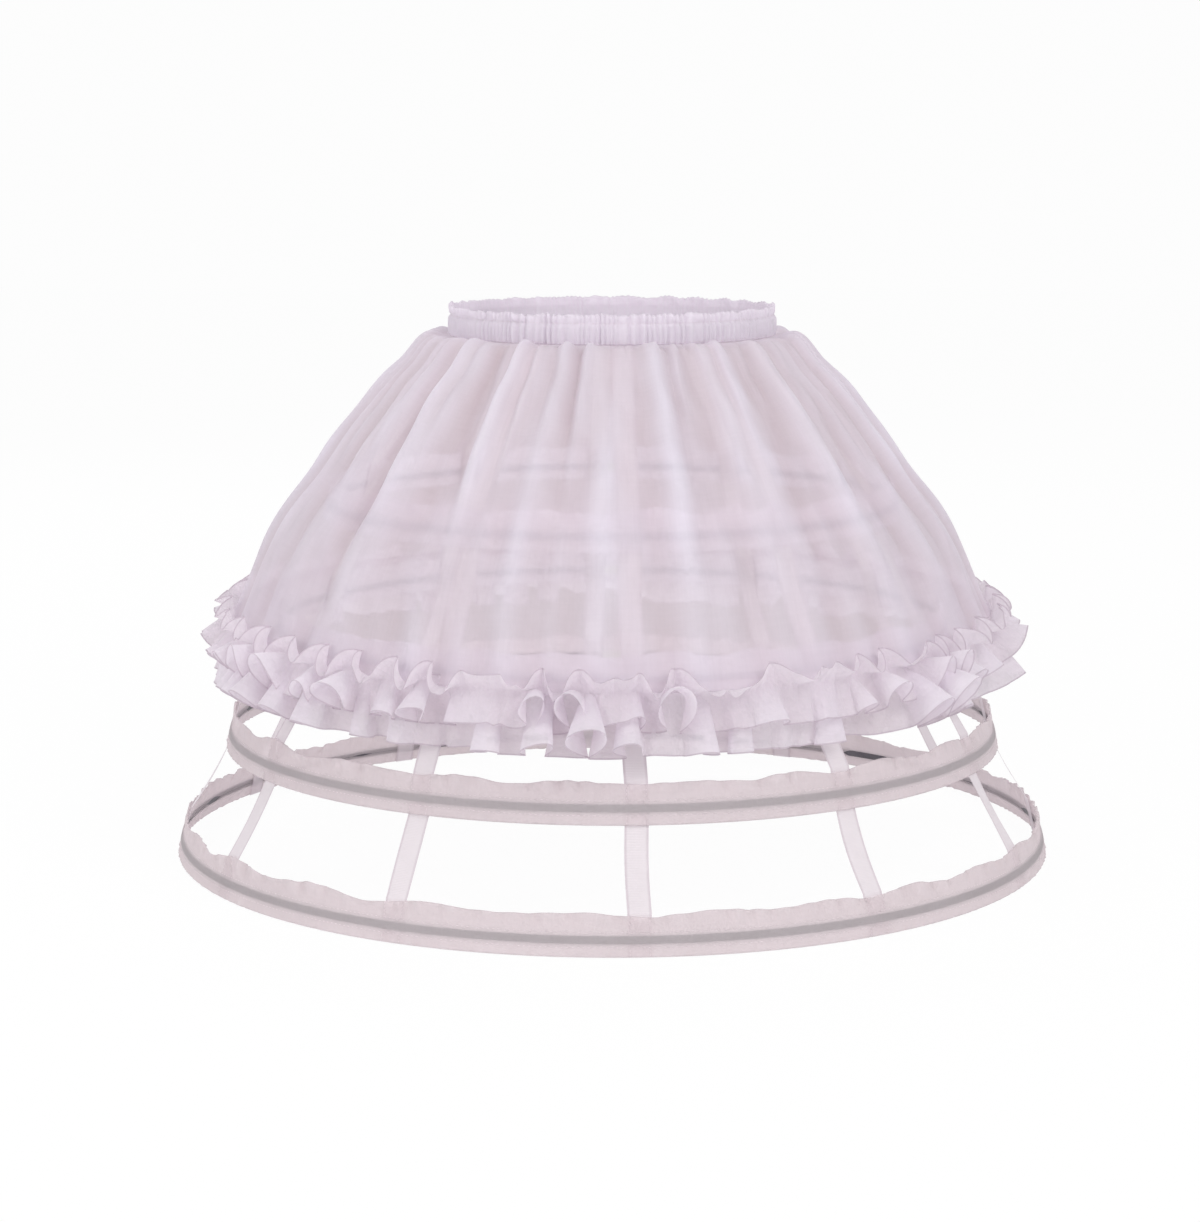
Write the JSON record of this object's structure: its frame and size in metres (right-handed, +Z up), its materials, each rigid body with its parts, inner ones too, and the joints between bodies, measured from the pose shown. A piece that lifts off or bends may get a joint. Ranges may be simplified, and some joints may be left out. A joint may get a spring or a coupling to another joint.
{
  "type": "crinoline cage",
  "caption": "Short hooped petticoat: sprung hoops in sheer casings hung on tapes from a gathered elastic waistband, under a sheer overskirt with a double frilled hem.",
  "frame": {"origin": "centre of the hem hoop's casing, at its lower edge", "axes": "+Z up through the waist, front of the skirt faces -Y"},
  "size_m": [0.7375, 0.7376, 0.456],
  "materials": {
    "waistband_cloth": "gathered voile, matte",
    "elastic": "knitted elastic, matte",
    "skirt_cloth": "sheer voile, matte",
    "frill_cloth": "sheer voile, matte",
    "casing_cloth": "sheer organza, soft sheen",
    "coated_bone": "coated spring steel, satin",
    "sleeve_metal": "plain",
    "ribbon_tape": "organza ribbon, soft sheen"
  },
  "bodies": {
    "root": {"waistband": "waistband_cloth", "waist_elastic": "elastic", "overskirt": "skirt_cloth", "upper_frill": "frill_cloth", "lower_frill": "frill_cloth", "hoop_casing_1": "casing_cloth", "hoop_casing_2": "casing_cloth", "hoop_casing_3": "casing_cloth", "hoop_casing_4": "casing_cloth", "hoop_bone_1": "coated_bone", "hoop_bone_2": "coated_bone", "hoop_bone_3": "coated_bone", "hoop_bone_4": "coated_bone", "bone_sleeve_1": "sleeve_metal", "bone_sleeve_2": "sleeve_metal", "bone_sleeve_3": "sleeve_metal", "bone_sleeve_4": "sleeve_metal", "tape_01": "ribbon_tape", "tape_02": "ribbon_tape", "tape_03": "ribbon_tape", "tape_04": "ribbon_tape", "tape_05": "ribbon_tape", "tape_06": "ribbon_tape", "tape_07": "ribbon_tape", "tape_08": "ribbon_tape", "tape_09": "ribbon_tape", "tape_10": "ribbon_tape", "tape_11": "ribbon_tape", "tape_12": "ribbon_tape"}
  },
  "joints": []
}
